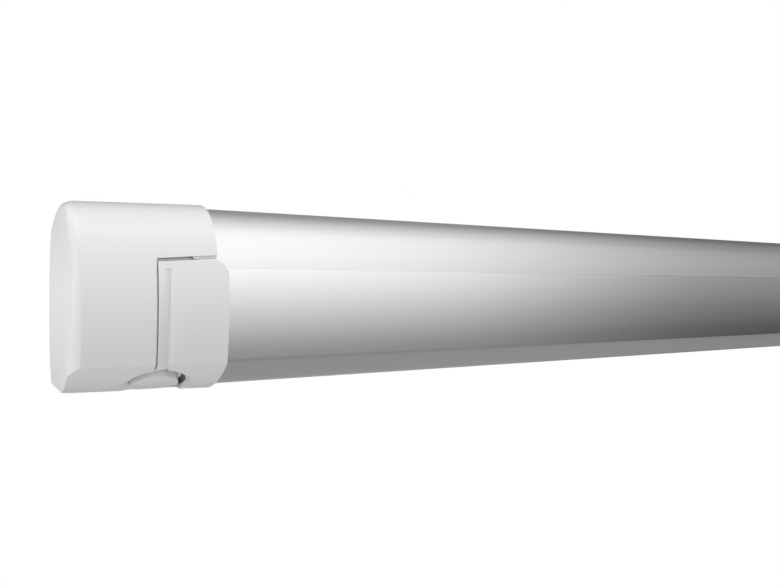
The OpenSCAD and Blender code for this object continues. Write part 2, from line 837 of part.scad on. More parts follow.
// A pair of ears round a pivot at x 0, carried back to a wall
module pivot_ears(pivot_y, wall_y) for (level = [-1, 1])
    mirror_level(level) upright(knuckle_thick / 2 + ear_play, arm_height / 2) {
        translate([0, pivot_y]) circle(ear_radius);
        translate([-ear_radius, min(pivot_y, wall_y)]) square([2 * ear_radius, abs(wall_y - pivot_y)]);
    }

// Works from the arms' mid level, upwards or mirrored downwards
module mirror_level(level) translate([0, 0, arm_level]) mirror([0, 0, level < 0 ? 1 : 0]) children();

module pivot_pin(x, y) translate([x, y, arm_level]) {
    cylinder(r = pin_radius - 0.01, h = arm_height, center = true);
    translate([0, 0, arm_height / 2]) cylinder(r = pin_head, h = pin_head_height);
}

module shoulder_pins() color(steel) for (x = [-1, 1] * shoulder_x) pivot_pin(x, -upper_depth);

module wall_screw(x) {
    grip = shell_wall + bracket_thick;
    translate([x, -grip, arm_level]) rotate([90, 0, 0]) {
        cylinder(r = screw_head, h = screw_head_height);
        translate([0, 0, 0.3 - grip]) cylinder(r = screw_radius, h = grip);
    }
}

module housing_screws() color(steel) {
    for (x = [-1, 1] * shoulder_x, shift = [-1, 1] * bracket_screw) wall_screw(x + shift);
    for (right = [false, true]) on_side(right) translate([-half_length, 0, 0]) {
        face = housing_inset - plate_thick;
        for (port = ports) {
            along_x(face - screw_head_height, face) translate(port) circle(screw_head);
            along_x(face - 0.5, face + port_screw_length) translate(port) circle(screw_radius);
        }
    }
}

// A soft strip under the lip that closes the seam to the lead rail
module lip_seal() color(dark) along_x(-half_length + lead_inset + 15, half_length - lead_inset - 15)
    translate([-case_depth + lip_flange, lip_height - lip_seam / 2]) square([3, lip_seam / 2 + shell_wall]);

// A soft strip in the corner between the housing's back edge and the wall
module wall_seal() color(dark) {
    width = 5;
    height = 4.5;
    seat = 0.1;
    back = crown(0);
    front = crown(-width);
    along_x(-half_length + lead_cap_end, half_length - lead_cap_end)
        polygon([[0, back + seat], [-width, front + seat], [-width, front + 0.6], [0, back + height]]);
}

// A tube on the roller's axis, drawn in from both ends
module roller_ring(inset, outer, inner) {
    along_x(-half_length + inset, half_length - inset) translate(roller_at) difference() {
        circle(outer);
        circle(inner);
    }
}

module roller_tube() color(alloy) roller_ring(roller_inset, roller_radius, roller_radius - roller_wall);

module fabric_roll() color(cloth) roller_ring(fabric_inset, roll_radius, roller_radius + 0.05);

// A plug in the roller tube's end, with its journal
module roller_plug(right, journal_end) color(dark) on_side(right) translate([-half_length, 0, 0]) {
    face = roller_inset - roller_plug_rim;
    on_roller(face + 1, roller_inset + roller_plug_length, roller_radius - roller_wall - 0.05);
    on_roller(face, roller_inset, roller_radius);
    on_roller(journal_end, face + 1, journal_radius);
}

// The stretch of fabric between the roll's underside and the hem groove
module awning_fabric() color(cloth) {
    gap = 0.3;
    start = [-roller_depth - 4.5, roller_height - roll_radius - gap];
    end = [-groove_depth + groove_radius - 1.5, groove_height + fabric_thick / 2];
    drop = [0, -fabric_thick];
    along_x(-half_length + fabric_inset, half_length - fabric_inset)
        polygon([start, end, end + drop, start + drop]);
}

// A casting's plug inside its tube, from x towards the tube
module arm_plug(x, y, direction) {
    end = direction * plug_length;
    shrink = 2 * (arm_wall + plug_play);
    translate([x, 0, arm_level]) along_x(min(0, end), max(0, end))
        translate([y, 0]) rounded(arm_width - shrink, arm_height - shrink, arm_round - arm_wall);
}

module arm_tube(y) {
    start = -shoulder_x + knuckle_reach;
    end = -elbow_at - casting_reach;
    translate([0, 0, arm_level]) along_x(start, end)
        translate([y, 0]) rounded_tube(arm_width, arm_height, arm_round, arm_wall);
}

// The casting with a middle knuckle at an arm's outer end
module end_knuckle(y) translate([-shoulder_x, 0, 0]) {
    difference() {
        union() {
            mirror_level(1) upright(-knuckle_thick / 2, knuckle_thick / 2) {
                translate([0, y]) circle(knuckle_radius);
                translate([0, y - knuckle_radius + 2]) square([knuckle_reach, 2 * knuckle_radius - 4]);
            }
            translate([0, 0, arm_level]) along_x(knuckle_reach - block_length / 2, knuckle_reach)
                translate([y, 0]) rounded(arm_width, arm_height, arm_round);
            arm_plug(knuckle_reach - 0.5, y, 1);
        }
        translate([0, y, -far]) cylinder(r = pin_radius + run_clear, h = 2 * far);
    }
}

// Plan of an elbow casting from its arm's line to the elbow, on the back (1) or front (-1) side
module elbow_plan(side, radius) {
    offset_y = (fore_depth - upper_depth) / 2;
    circle(radius);
    polygon([
        [-casting_reach + block_length - 1, side * (offset_y - arm_width / 2)],
        [-casting_reach + block_length - 1, side * (offset_y + arm_width / 2)],
        (radius - 0.3) * [sin(22), side * cos(22)],
        (radius - 0.3) * [-sin(45), -side * cos(45)]
    ]);
}

module elbow_block(y) translate([-elbow_at, 0, 0]) {
    translate([0, 0, arm_level]) along_x(-casting_reach, -casting_reach + block_length)
        translate([y, 0]) rounded(arm_width, arm_height, arm_round);
    arm_plug(-casting_reach + 0.5, y, -1);
}

module elbow_fork() difference() {
    union() {
        elbow_block(-upper_depth);
        for (level = [-1, 1])
            mirror_level(level) upright(knuckle_thick / 2 + ear_play, arm_height / 2)
                translate([-elbow_at, elbow_y]) elbow_plan(1, ear_radius);
    }
    translate([-elbow_at, elbow_y, -far]) cylinder(r = pin_radius, h = 2 * far);
}

module elbow_eye() difference() {
    union() {
        elbow_block(-fore_depth);
        mirror_level(1) upright(-knuckle_thick / 2, knuckle_thick / 2)
            translate([-elbow_at, elbow_y]) elbow_plan(-1, knuckle_radius);
    }
    translate([-elbow_at, elbow_y, -far]) cylinder(r = pin_radius + run_clear, h = 2 * far);
}

// The tension spring inside an upper arm, with its rods to the two castings
module arm_spring() {
    start = -shoulder_x + knuckle_reach + plug_length;
    end = -elbow_at - casting_reach - plug_length;
    anchor = start + spring_length;
    rod = 2.2;
    translate([0, -upper_depth, arm_level]) {
        along_x(start, anchor) difference() {
            circle(spring_radius);
            circle(spring_radius - 2.4);
        }
        along_x(anchor - 4, end) circle(rod);
        along_x(anchor - 4, anchor) circle(spring_radius - 2);
    }
}

module lead_rail_profile() color(alloy) difference() {
    along_x(-half_length + lead_inset, half_length - lead_inset) difference() {
        union() {
            difference() {
                outline(0);
                outline(rail_wall);
                above(lip_height - lip_seam);
                behind(-channel_front + channel_wall);
            }
            intersection() {
                outline(0);
                union() {
                    translate([-case_depth, lip_height - lip_seam - rail_wall])
                        square([lip_flange, rail_wall]);
                    translate([-case_depth, channel_top - channel_wall])
                        square([case_depth - channel_back, channel_wall]);
                    for (y = [-channel_front, lanes[0] + lane_width / 2, -channel_back - channel_wall])
                        translate([y, floor_z]) square([channel_wall, channel_top - floor_z]);
                    translate([-groove_depth, groove_height]) circle(groove_radius);
                    translate([-case_depth, groove_height - rail_wall / 2])
                        square([case_depth - groove_depth, rail_wall]);
                }
            }
        }
        translate([-groove_depth, groove_height]) circle(hem_radius + hem_play);
        translate([-groove_depth, groove_height - groove_mouth / 2])
            square([2 * groove_radius, groove_mouth]);
    }
    leg_hinges(leg_pin_radius);
}

// The hinge pins of both legs, each through its own lane's walls
module leg_hinges(radius) for (right = [0, 1]) on_side(right == 1)
    translate([-half_length + leg_at, lanes[right], leg_level]) rotate([90, 0, 0])
        cylinder(r = radius, h = lane_width + 2 * channel_wall, center = true);

module leg_hinge_pins() color(steel) leg_hinges(leg_pin_radius - 0.01);

module hem_rod() color(cloth) along_x(-half_length + fabric_inset, half_length - fabric_inset)
    translate([-groove_depth, groove_height]) circle(hem_radius);

module wrist_bracket(right) color(steel) on_side(right) translate([-shoulder_x, 0, 0]) difference() {
    web = fore_depth + ear_radius + 3;
    front = case_depth - rail_wall - 4;
    half_width = 18;
    union() {
        translate([-half_width, -front, channel_top])
            cube([2 * half_width, front - web, arm_level + arm_height / 2 - channel_top]);
        pivot_ears(-fore_depth, -web - 0.5);
        translate([-ear_radius, -web - 0.5, channel_top])
            cube([2 * ear_radius, web - fore_depth + 0.5, arm_level - arm_height / 2 - channel_top + 0.5]);
    }
    translate([0, -fore_depth, -far]) cylinder(r = pin_radius, h = 2 * far);
}

module wrist_pins() color(steel) for (x = [-1, 1] * shoulder_x) pivot_pin(x, -fore_depth);

// Legs are drawn on the left, in the lane at lane_y
module leg_section(from, to, lane_y) translate([0, lane_y, leg_level]) along_x(from, to) children();

module leg_tube(lane_y) leg_section(-half_length + leg_at + leg_height, -leg_end, lane_y)
    rounded_tube(leg_width, leg_height, leg_round, leg_wall);

module leg_head(lane_y) {
    hinge_x = -half_length + leg_at;
    difference() {
        union() {
            translate([hinge_x, lane_y, leg_level]) rotate([90, 0, 0])
                cylinder(d = leg_height, h = leg_width, center = true);
            translate([hinge_x, lane_y - leg_width / 2, leg_level - leg_height / 2])
                cube([leg_height, leg_width, leg_height]);
            leg_section(hinge_x + leg_height - 0.5, hinge_x + 2 * leg_height, lane_y)
                rounded(leg_width - 2 * (leg_wall + plug_play), leg_height - 2 * (leg_wall + plug_play), 1);
        }
        translate([hinge_x, lane_y, leg_level]) rotate([90, 0, 0])
            cylinder(r = leg_pin_radius + run_clear, h = far, center = true);
    }
}

// The collar on the tube's open end, with a slot for the lock lever's eye
module leg_collar(lane_y) {
    lever_x = lever_hinge_x();
    lever_z = lever_hinge_z();
    difference() {
        leg_section(-leg_end + 0.01, -leg_end + collar_length, lane_y) difference() {
            translate([0, -0.2]) rounded(leg_width + 0.6, leg_height + 1.4, leg_round);
            rounded(inner_width + 2 * leg_play, inner_height + 2 * leg_play, 1);
        }
        translate([-leg_end - 1, lane_y - lever_width / 2 - 0.3, lever_z - far / 10])
            cube([lever_x + lever_eye + 0.6 + leg_end + 1, lever_width + 0.6, far / 10 + lever_eye + 0.25]);
        translate([lever_x, lane_y, lever_z]) rotate([90, 0, 0])
            cylinder(r = lever_pin + run_clear, h = far, center = true);
    }
}

function lever_hinge_x() = -leg_end + lever_inset + lever_eye;
function lever_hinge_z() = leg_level - inner_height / 2 - lever_eye - 0.35;

// The lock lever with its own small pin, lying under the leg tube
module leg_lever(lane_y) translate([lever_hinge_x(), lane_y, lever_hinge_z()]) {
    rotate([90, 0, 0]) cylinder(r = lever_eye, h = lever_width, center = true);
    rotate([90, 0, 0]) cylinder(r = lever_pin, h = leg_width, center = true);
    translate([-lever_length, -lever_width / 2, -lever_eye]) cube([lever_length, lever_width, lever_thick]);
}

module leg_inner(lane_y) {
    start = -half_length + leg_at + 2 * leg_height + 2;
    end = -leg_end + collar_length + 12;
    leg_section(start, end, lane_y) rounded_tube(inner_width, inner_height, 1, leg_wall);
}

module leg_foot(lane_y) {
    start = -leg_end + collar_length + 0.5;
    difference() {
        leg_section(start, start + foot_length, lane_y) rounded(leg_width, leg_height, leg_round);
        leg_section(start - 1, start + 11.52, lane_y) rounded(inner_width + 0.02, inner_height + 0.02, 1);
    }
}

housing_profile();
end_cap(false);  // left_end_cap
end_cap(true);  // right_end_cap
end_plate(false);  // left_end_plate
end_plate(true);  // right_end_plate
roller_bushes();
winch_plug();
winch_bezel();
winch_housing();
shoulder_bracket(false);  // left_shoulder_bracket
shoulder_bracket(true);  // right_shoulder_bracket
shoulder_pins();
housing_screws();
lip_seal();
wall_seal();
roller_tube();
fabric_roll();
roller_plug(false, housing_inset - plate_thick - 3);  // left_roller_plug
roller_plug(true, winch_at - wheel_width / 2 - 1);  // right_roller_plug
worm_wheel();
winch_worm();
winch_eye();
awning_fabric();
color(alloy) arm_tube(-upper_depth);  // left_upper_arm
color(steel) end_knuckle(-upper_depth);  // left_shoulder_knuckle
color(steel) elbow_fork();  // left_elbow_fork
color(steel) pivot_pin(-elbow_at, elbow_y);  // left_elbow_pin
color(dark) arm_spring();  // left_arm_spring
color(alloy) on_side(true) arm_tube(-upper_depth);  // right_upper_arm
color(steel) on_side(true) end_knuckle(-upper_depth);  // right_shoulder_knuckle
color(steel) on_side(true) elbow_fork();  // right_elbow_fork
color(steel) pivot_pin(elbow_at, elbow_y);  // right_elbow_pin
color(dark) on_side(true) arm_spring();  // right_arm_spring
color(alloy) arm_tube(-fore_depth);  // left_forearm
color(steel) elbow_eye();  // left_elbow_eye
color(steel) end_knuckle(-fore_depth);  // left_wrist_knuckle
color(alloy) on_side(true) arm_tube(-fore_depth);  // right_forearm
color(steel) on_side(true) elbow_eye();  // right_elbow_eye
color(steel) on_side(true) end_knuckle(-fore_depth);  // right_wrist_knuckle
lead_rail_profile();
lead_cap(false);  // left_lead_cap
lead_cap(true);  // right_lead_cap
wrist_bracket(false);  // left_wrist_bracket
wrist_bracket(true);  // right_wrist_bracket
wrist_pins();
hem_rod();
leg_hinge_pins();
color(alloy) leg_tube(lanes[0]);  // left_leg_tube
color(dark) leg_head(lanes[0]);  // left_leg_head
color(dark) leg_collar(lanes[0]);  // left_leg_collar
color(alloy) leg_inner(lanes[0]);  // left_leg_inner
color(dark) leg_foot(lanes[0]);  // left_leg_foot
color(dark) leg_lever(lanes[0]);  // left_leg_lever
color(alloy) on_side(true) leg_tube(lanes[1]);  // right_leg_tube
color(dark) on_side(true) leg_head(lanes[1]);  // right_leg_head
color(dark) on_side(true) leg_collar(lanes[1]);  // right_leg_collar
color(alloy) on_side(true) leg_inner(lanes[1]);  // right_leg_inner
color(dark) on_side(true) leg_foot(lanes[1]);  // right_leg_foot
color(dark) on_side(true) leg_lever(lanes[1]);  // right_leg_lever
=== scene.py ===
import json
import math

import bmesh
import bpy
from mathutils import Matrix, Vector

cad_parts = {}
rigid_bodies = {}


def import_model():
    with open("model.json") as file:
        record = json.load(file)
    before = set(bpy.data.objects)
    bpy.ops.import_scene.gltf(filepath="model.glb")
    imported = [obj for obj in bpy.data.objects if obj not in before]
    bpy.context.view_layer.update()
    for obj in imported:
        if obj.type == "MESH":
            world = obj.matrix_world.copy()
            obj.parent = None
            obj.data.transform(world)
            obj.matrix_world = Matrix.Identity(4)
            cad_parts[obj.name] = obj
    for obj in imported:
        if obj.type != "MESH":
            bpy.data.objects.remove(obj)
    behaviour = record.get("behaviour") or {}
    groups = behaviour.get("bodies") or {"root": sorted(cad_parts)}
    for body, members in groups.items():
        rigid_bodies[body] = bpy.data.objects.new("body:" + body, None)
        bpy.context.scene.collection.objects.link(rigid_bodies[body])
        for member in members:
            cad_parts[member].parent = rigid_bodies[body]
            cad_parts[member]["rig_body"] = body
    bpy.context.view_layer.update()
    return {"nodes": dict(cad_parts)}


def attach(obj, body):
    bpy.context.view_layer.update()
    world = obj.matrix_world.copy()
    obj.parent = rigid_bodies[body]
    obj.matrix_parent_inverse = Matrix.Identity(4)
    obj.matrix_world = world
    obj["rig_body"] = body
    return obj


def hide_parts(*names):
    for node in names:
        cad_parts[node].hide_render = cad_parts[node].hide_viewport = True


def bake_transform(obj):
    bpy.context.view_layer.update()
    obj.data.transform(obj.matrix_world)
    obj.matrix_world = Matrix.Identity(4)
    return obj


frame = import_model()
print("frame loaded")

# Section of the cassette, drawn as (y, z) in metres with the front towards -y
case = {
    "halfLength": 1.15,
    "depth": 0.093,
    "top": 0.0568,
    "floor": -0.056,
    "wall": 0.0022,
    "frontRadius": 0.178,
    "frontCrest": -0.002,
    "cornerRadius": 0.038,
    "crownRadius": 0.128,
    "keelRadius": 0.082,
    "keelLine": 0.0365,
    "keelDip": 0.0015,
    "lipHeight": 0.018,
    "lipFlange": 0.008,
    "floorDepth": 0.011,
}
frontCentre = (case["frontRadius"] - case["depth"], case["frontCrest"])
cornerZ = case["top"] - case["cornerRadius"]
cornerRise = cornerZ - case["frontCrest"]
cornerReach = math.sqrt((case["frontRadius"] - case["cornerRadius"]) ** 2 - cornerRise ** 2)
cornerCentre = (frontCentre[0] - cornerReach, cornerZ)
crownCentre = (cornerCentre[0], case["top"] - case["crownRadius"])
keelCentre = (-case["keelLine"], case["floor"] - case["keelDip"] + case["keelRadius"])
cornerEnd = math.atan2(cornerCentre[1] - frontCentre[1], cornerCentre[0] - frontCentre[0])

# Places inside the cassette that more than one piece uses
inside = {
    "armZ": -0.0225,
    "upperArmY": -0.02,
    "forearmY": -0.046,
    "rollerAxis": (-0.036, 0.021),
    "hemAxis": (-0.083, -0.001),
    "clothHalf": 1.05,
    "plateFace": 1.084,
}

# Straight steps in each round stretch
steps = {
    "crown": 24,
    "corner": 36,
    "lip": 4,
    "front": 28,
    "keel": 20,
    "port": 24,
    "groove": 40,
    "tube": 96,
    "boxCorner": 6,
    "bar": 40,
    "bush": 48,
}


def arcPoints(centre, radius, start, end, count):
    turns = [start + (end - start) * step / count for step in range(count + 1)]
    return [(centre[0] + radius * math.cos(turn), centre[1] + radius * math.sin(turn)) for turn in turns]


def crownAngle(y, inset):
    return math.acos((y - crownCentre[0]) / (case["crownRadius"] - inset))


def frontAngle(z, inset):
    return math.pi - math.asin((z - frontCentre[1]) / (case["frontRadius"] - inset))


def keelAngle(y, inset):
    return -math.acos((y - keelCentre[0]) / (case["keelRadius"] - inset))


# Where the front and keel curves of one inset cross
def creaseAngles(inset):
    frontR = case["frontRadius"] - inset
    keelR = case["keelRadius"] - inset
    apart = Vector((keelCentre[0] - frontCentre[0], keelCentre[1] - frontCentre[1]))
    along = (frontR ** 2 - keelR ** 2 + apart.length_squared) / (2 * apart.length)
    aside = math.sqrt(frontR ** 2 - along ** 2)
    direction = apart.normalized()
    point = Vector(frontCentre) + direction * along + Vector((-direction.y, direction.x)) * aside
    onFront = math.atan2(point.y - frontCentre[1], point.x - frontCentre[0])
    onKeel = math.atan2(point.y - keelCentre[1], point.x - keelCentre[0])
    return onFront % (2 * math.pi), onKeel


# Crown, corner and front from the wall round to the height z
def upperChain(inset, wallY, z):
    start, upright, end = crownAngle(wallY, inset), math.pi / 2, frontAngle(z, inset)
    chain = arcPoints(crownCentre, case["crownRadius"] - inset, start, upright, steps["crown"])
    chain += arcPoints(cornerCentre, case["cornerRadius"] - inset, upright, cornerEnd, steps["corner"])[1:]
    chain += arcPoints(frontCentre, case["frontRadius"] - inset, cornerEnd, end, steps["lip"])[1:]
    return chain


# Front and keel from the height z round to the depth y under the cassette
def lowerChain(inset, z, y):
    start, end = frontAngle(z, inset), keelAngle(y, inset)
    onFront, onKeel = creaseAngles(inset)
    chain = arcPoints(frontCentre, case["frontRadius"] - inset, start, onFront, steps["front"])
    chain += arcPoints(keelCentre, case["keelRadius"] - inset, onKeel, end, steps["keel"])[1:]
    return chain


# Rounds the corners of a chain that turn more than a limit, where the sides beside them are long enough
def roundedChain(chain, radius, limit=0.5, share=0.45):
    rounded = []
    for index, point in enumerate(chain):
        here = Vector(point)
        before = Vector(chain[index - 1]) - here
        after = Vector(chain[(index + 1) % len(chain)]) - here
        turn = math.pi - before.angle(after)
        reach = radius * math.tan(turn / 2)
        if turn < limit or reach > share * min(before.length, after.length):
            rounded.append(point)
            continue
        first = here + before.normalized() * reach
        last = here + after.normalized() * reach
        inward = (before.normalized() + after.normalized()).normalized()
        middle = here + inward * (radius / math.cos(turn / 2) - radius)
        rounded += [tuple(first), tuple(middle), tuple(last)]
    return rounded


# Draws faces out along X
def pushAlong(mesh, faces, length):
    pushed = bmesh.ops.extrude_face_region(mesh, geom=faces)["geom"]
    corners = [part for part in pushed if isinstance(part, bmesh.types.BMVert)]
    bmesh.ops.translate(mesh, verts=corners, vec=(length, 0, 0))


def addPrism(mesh, chain, low, high):
    face = mesh.faces.new([mesh.verts.new((low, y, z)) for y, z in chain])
    pushAlong(mesh, [face], high - low)


def addLoop(mesh, chain, x):
    corners = [mesh.verts.new((x, y, z)) for y, z in chain]
    return [mesh.edges.new((corner, corners[index - 1])) for index, corner in enumerate(corners)]


def addTube(mesh, outer, inner, low, high):
    loops = addLoop(mesh, outer, low) + addLoop(mesh, inner, low)
    ring = bmesh.ops.bridge_loops(mesh, edges=loops)["faces"]
    pushAlong(mesh, ring, high - low)


# A round bar between two points
def addBar(mesh, start, end, radius):
    along = Vector(end) - Vector(start)
    turn = along.to_track_quat("Z", "Y").to_matrix().to_4x4()
    place = Matrix.Translation(Vector(start) + along / 2) @ turn
    bmesh.ops.create_cone(mesh, cap_ends=True, segments=steps["bar"], radius1=radius, radius2=radius,
                          depth=along.length, matrix=place)


def looseObject(mesh, name):
    data = bpy.data.meshes.new(name)
    mesh.to_mesh(data)
    mesh.free()
    piece = bpy.data.objects.new(name, data)
    bpy.context.scene.collection.objects.link(piece)
    return piece


# Bores round holes, given as start, end and radius
def bored(mesh, holes):
    bars = bmesh.new()
    for start, end, radius in holes:
        addBar(bars, start, end, radius)
    cutter = looseObject(bars, "bores")
    blank = looseObject(mesh, "blank")
    cut = blank.modifiers.new("bores", "BOOLEAN")
    cut.operation = "DIFFERENCE"
    cut.solver = "EXACT"
    cut.object = cutter
    view = bpy.context.evaluated_depsgraph_get()
    result = bmesh.new()
    result.from_mesh(blank.evaluated_get(view).to_mesh())
    for piece in (blank, cutter):
        data = piece.data
        bpy.data.objects.remove(piece)
        bpy.data.meshes.remove(data)
    return result


def circleChain(centre, radius, count):
    return arcPoints(centre, radius, 0, 2 * math.pi, count)[:-1]


def rectangleChain(centre, width, height, radius):
    chain = []
    quarter = math.pi / 2
    for number, (side, level) in enumerate(((1, 1), (-1, 1), (-1, -1), (1, -1))):
        corner = (centre[0] + side * (width / 2 - radius), centre[1] + level * (height / 2 - radius))
        chain += arcPoints(corner, radius, number * quarter, (number + 1) * quarter, steps["boxCorner"])
    return chain


# True where the side of a face that meets the edge at a corner is too short for a bevel
def lacksRoom(edge, width, straight=2.5, spare=1.2):
    for loop in edge.link_loops:
        for corner, side in ((loop, loop.link_loop_prev), (loop.link_loop_next, loop.link_loop_next)):
            if corner.calc_angle() < straight and side.edge.calc_length() < spare * width:
                return True
    return False


# Bevels the edges that turn more than a limit
def soften(mesh, width, segments=2, limit=0.6):
    sharp = [edge for edge in mesh.edges if len(edge.link_faces) == 2 and edge.calc_face_angle() > limit]
    roomy = [edge for edge in sharp if edge.calc_length() > 2 * width and not lacksRoom(edge, width)]
    bmesh.ops.bevel(mesh, geom=roomy, offset=width, offset_type="OFFSET", affect="EDGES", segments=segments,
                    profile=0.5, clamp_overlap=False, material=-1)


def pieceName(node):
    words = node.split("_")
    return words[0] + "".join(word.title() for word in words[1:])


# Turns a bmesh into the piece that stands for a CAD node
def finishPiece(mesh, node, material, rides=True, smooth=0.3):
    bmesh.ops.recalc_face_normals(mesh, faces=mesh.faces)
    for face in mesh.faces:
        face.smooth = True
    for edge in mesh.edges:
        edge.smooth = len(edge.link_faces) == 2 and edge.calc_face_angle() < smooth
    piece = looseObject(mesh, pieceName(node))
    piece.data.materials.append(material)
    if rides:
        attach(piece, frame["nodes"][node]["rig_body"])
        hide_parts(node)
    return piece


# A copy of a CAD node's mesh, with doubles merged and flat stretches joined
def nodeMesh(node, gap=2e-6, flat=0.008):
    mesh = bmesh.new()
    mesh.from_mesh(frame["nodes"][node].data)
    bmesh.ops.remove_doubles(mesh, verts=mesh.verts, dist=gap)
    bmesh.ops.dissolve_limit(mesh, angle_limit=flat, verts=mesh.verts, edges=mesh.edges)
    return mesh


# Links a socket to another one, or sets it to a plain value
def feed(tree, socket, value):
    if isinstance(value, bpy.types.NodeSocket):
        tree.links.new(value, socket)
    else:
        socket.default_value = value


def joinValues(tree, operation, first, second=0):
    joint = tree.nodes.new("ShaderNodeMath")
    joint.operation = operation
    for socket, value in zip(joint.inputs, (first, second)):
        feed(tree, socket, value)
    return joint.outputs[0]


# Moves a value from one span to another
def mapValue(tree, value, source, target):
    span = tree.nodes.new("ShaderNodeMapRange")
    labels = ("Value", "From Min", "From Max", "To Min", "To Max")
    for label, end in zip(labels, (value, *source, *target)):
        feed(tree, span.inputs[label], end)
    return span.outputs[0]


def noiseValue(tree, place, scale, detail=2):
    noise = tree.nodes.new("ShaderNodeTexNoise")
    for label, value in (("Vector", place), ("Scale", scale), ("Detail", detail)):
        feed(tree, noise.inputs[label], value)
    return noise.outputs["Fac"]


def tintedColor(tree, color, shade):
    tint = tree.nodes.new("ShaderNodeVectorMath")
    tint.operation = "SCALE"
    tree.links.new(color, tint.inputs[0])
    tree.links.new(shade, tint.inputs["Scale"])
    return tint.outputs[0]


def bumpNormal(tree, height, strength, distance):
    bump = tree.nodes.new("ShaderNodeBump")
    for label, value in (("Height", height), ("Strength", strength), ("Distance", distance)):
        feed(tree, bump.inputs[label], value)
    return bump.outputs[0]


# A shader node group with the named sockets, which are plain values unless listed here
socketKinds = {"Color": "NodeSocketColor", "Normal": "NodeSocketVector"}


def shaderGroup(name, inputs, outputs):
    tree = bpy.data.node_groups.new(name, "ShaderNodeTree")
    for direction, labels in (("INPUT", inputs), ("OUTPUT", outputs)):
        for label in labels:
            kind = socketKinds.get(label, "NodeSocketFloat")
            tree.interface.new_socket(label, in_out=direction, socket_type=kind)
    entry = tree.nodes.new("NodeGroupInput")
    leave = tree.nodes.new("NodeGroupOutput")
    return tree, entry, leave


# The group's own colour, darkened in places by its mottle
def mottledColor(tree, entry, value, contrast):
    darkest = joinValues(tree, "SUBTRACT", 1, entry.outputs["Mottle"])
    return tintedColor(tree, entry.outputs["Color"], mapValue(tree, value, contrast, (darkest, 1)))


# Fine mottling and a moulded grain for plastics and castings
grainLook = {"detail": 3, "broadScale": 14, "contrast": (0.3, 0.7), "bump": 0.00006, "roughSpread": 0.04}


def grainGroup():
    tree, entry, leave = shaderGroup(
        "grain", ("Color", "Grain", "Depth", "Mottle"), ("Color", "Roughness", "Normal"))
    place = tree.nodes.new("ShaderNodeTexCoord").outputs["Object"]
    fine = noiseValue(tree, place, entry.outputs["Grain"], grainLook["detail"])
    broad = noiseValue(tree, place, grainLook["broadScale"])
    color = mottledColor(tree, entry, broad, grainLook["contrast"])
    rough = mapValue(tree, broad, (0, 1), (-grainLook["roughSpread"], grainLook["roughSpread"]))
    normal = bumpNormal(tree, fine, entry.outputs["Depth"], grainLook["bump"])
    for label, value in (("Color", color), ("Roughness", rough), ("Normal", normal)):
        tree.links.new(value, leave.inputs[label])
    return tree


# Fine lines along X, as an extrusion die leaves them
lineLook = {"stretch": (0.6, 900, 900), "detail": 4, "speckScale": 2600, "contrast": (0.7, 1.3),
            "bump": 0.00002, "roughSpread": 0.05}


def lineGroup():
    tree, entry, leave = shaderGroup(
        "dieLines", ("Color", "Depth", "Mottle"), ("Color", "Roughness", "Normal"))
    place = tree.nodes.new("ShaderNodeTexCoord").outputs["Object"]
    stretch = tree.nodes.new("ShaderNodeMapping")
    stretch.inputs["Scale"].default_value = lineLook["stretch"]
    tree.links.new(place, stretch.inputs["Vector"])
    lines = noiseValue(tree, stretch.outputs[0], 1, lineLook["detail"])
    both = joinValues(tree, "ADD", lines, noiseValue(tree, place, lineLook["speckScale"]))
    color = mottledColor(tree, entry, both, lineLook["contrast"])
    rough = mapValue(tree, lines, (0, 1), (-lineLook["roughSpread"], lineLook["roughSpread"]))
    normal = bumpNormal(tree, both, entry.outputs["Depth"], lineLook["bump"])
    for label, value in (("Color", color), ("Roughness", rough), ("Normal", normal)):
        tree.links.new(value, leave.inputs[label])
    return tree


# Plain weave for the awning cloth
weaveLook = {"gapShade": 0.8, "bump": 0.0001}


def weaveGroup():
    tree, entry, leave = shaderGroup("weave", ("Color", "Threads", "Depth"), ("Color", "Normal"))
    place = tree.nodes.new("ShaderNodeTexCoord").outputs["Object"]
    waves = []
    for direction in ("X", "Y"):
        wave = tree.nodes.new("ShaderNodeTexWave")
        wave.bands_direction = direction
        tree.links.new(place, wave.inputs["Vector"])
        tree.links.new(entry.outputs["Threads"], wave.inputs["Scale"])
        waves.append(wave.outputs["Fac"])
    top = joinValues(tree, "MAXIMUM", *waves)
    shade = mapValue(tree, top, (0, 1), (weaveLook["gapShade"], 1))
    tree.links.new(tintedColor(tree, entry.outputs["Color"], shade), leave.inputs["Color"])
    tree.links.new(bumpNormal(tree, top, entry.outputs["Depth"], weaveLook["bump"]), leave.inputs["Normal"])
    return tree


grain = grainGroup()
dieLines = lineGroup()
weave = weaveGroup()


# A Principled material whose colour and normal, and mostly roughness, come from one of the groups
def madeMaterial(name, group, settings):
    material = bpy.data.materials.new(name)
    material.use_nodes = True
    tree = material.node_tree
    surface = tree.nodes["Principled BSDF"]
    surface.inputs["Metallic"].default_value = settings["metallic"]
    for label, value in settings.get("coat", {}).items():
        surface.inputs["Coat " + label].default_value = value
    pattern = tree.nodes.new("ShaderNodeGroup")
    pattern.node_tree = group
    pattern.inputs["Color"].default_value = (*settings["color"], 1)
    for label, value in settings["pattern"].items():
        pattern.inputs[label].default_value = value
    tree.links.new(pattern.outputs["Color"], surface.inputs["Base Color"])
    tree.links.new(pattern.outputs["Normal"], surface.inputs["Normal"])
    rough = settings["roughness"]
    if "Roughness" in pattern.outputs:
        rough = joinValues(tree, "ADD", pattern.outputs["Roughness"], rough)
    feed(tree, surface.inputs["Roughness"], rough)
    return material


